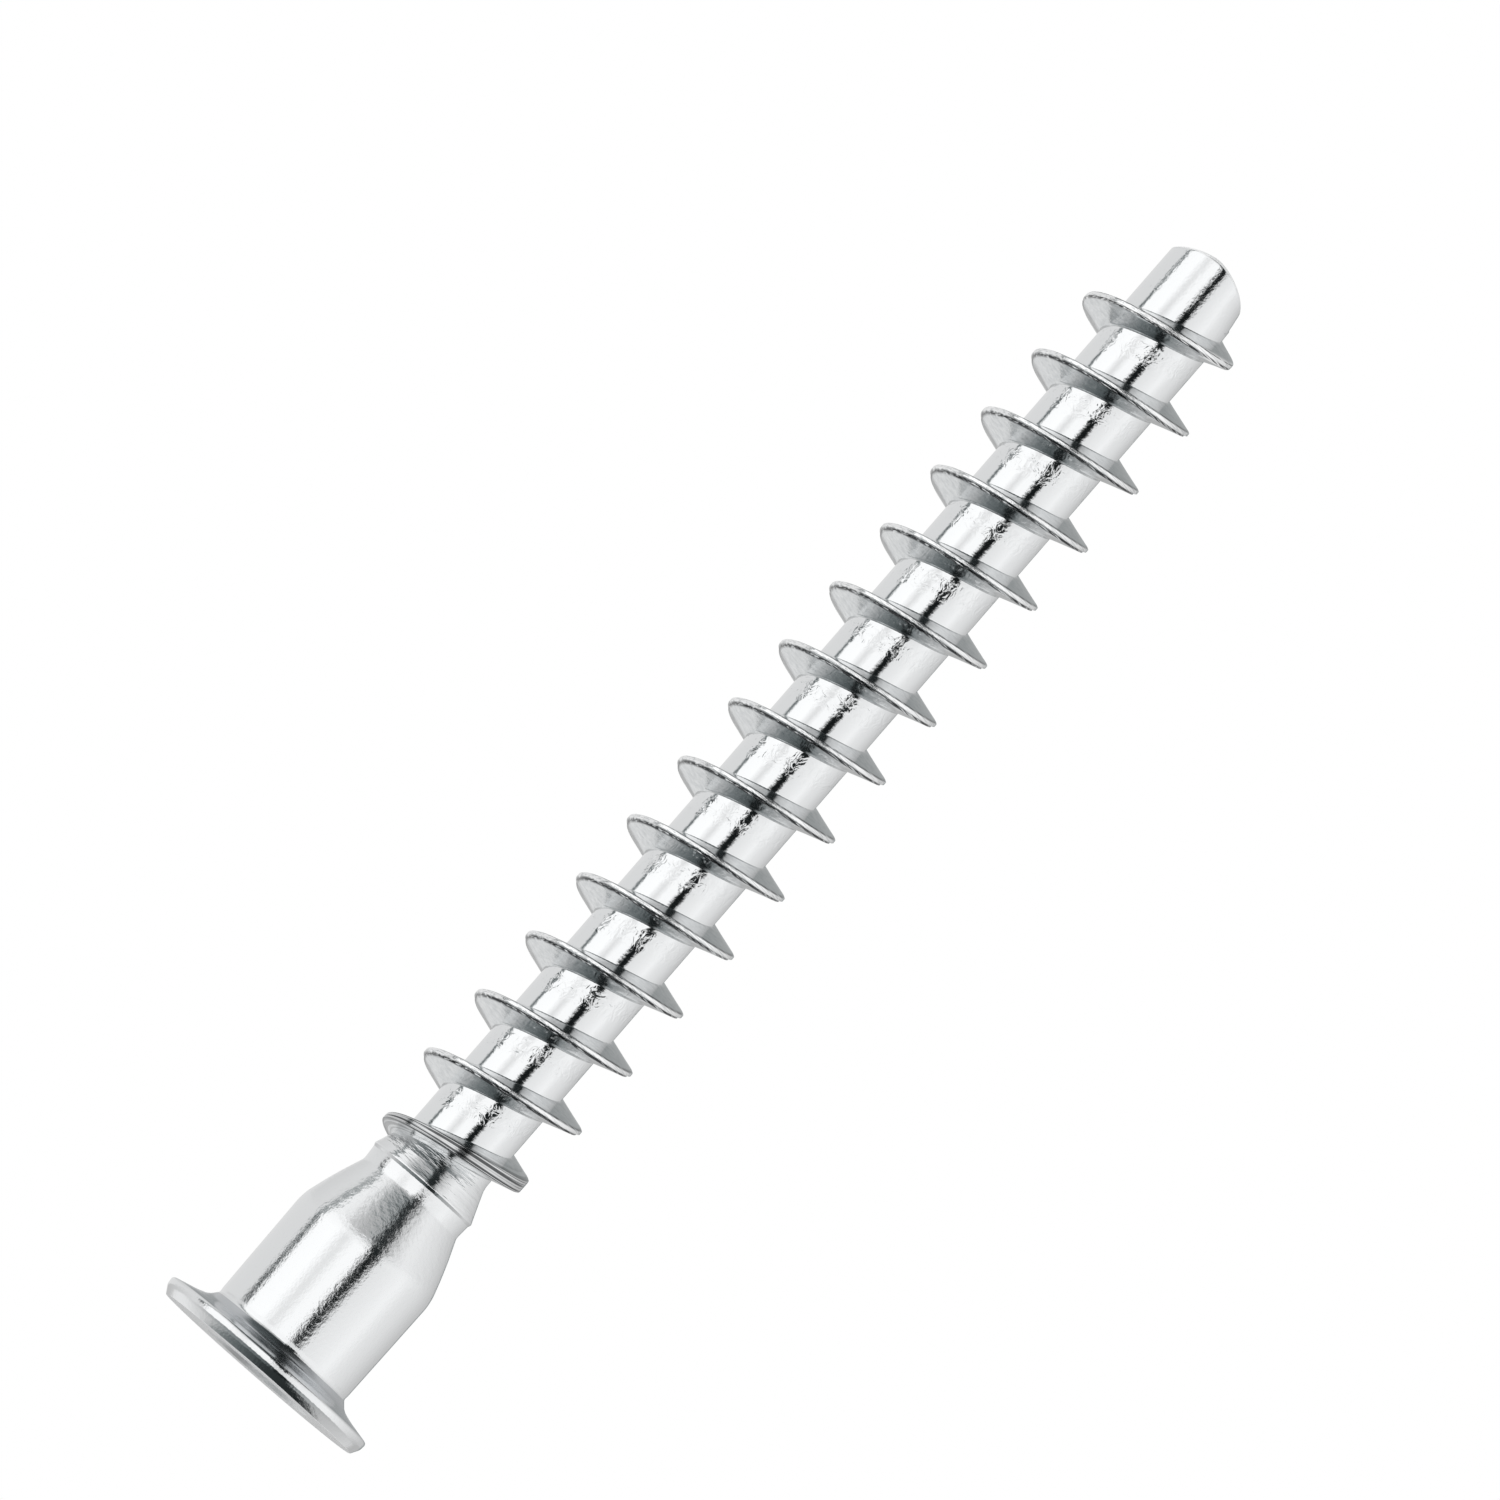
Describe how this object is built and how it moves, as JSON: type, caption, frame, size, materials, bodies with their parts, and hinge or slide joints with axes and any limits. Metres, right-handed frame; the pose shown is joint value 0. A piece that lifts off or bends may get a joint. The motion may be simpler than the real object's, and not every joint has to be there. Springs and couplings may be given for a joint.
{
  "type": "one-piece furniture connector screw",
  "caption": "Zinc plated one-piece connector screw with a flat flange head, hex socket, smooth shoulder, tapered neck and a coarse deep thread up to a blunt tip; joins furniture boards.",
  "frame": {"origin": "centre of the head's flat face, on which the screw stands", "axes": "+Z along the screw's axis from the head to the tip; -X is the side where the first crest of the thread stands"},
  "size_m": [0.0104, 0.0104, 0.06],
  "materials": {
    "zinc_plate": "bright zinc plate, polished on the shoulder and satin on the head's face"
  },
  "bodies": {
    "root": {"connector_screw": "zinc_plate"}
  },
  "joints": []
}
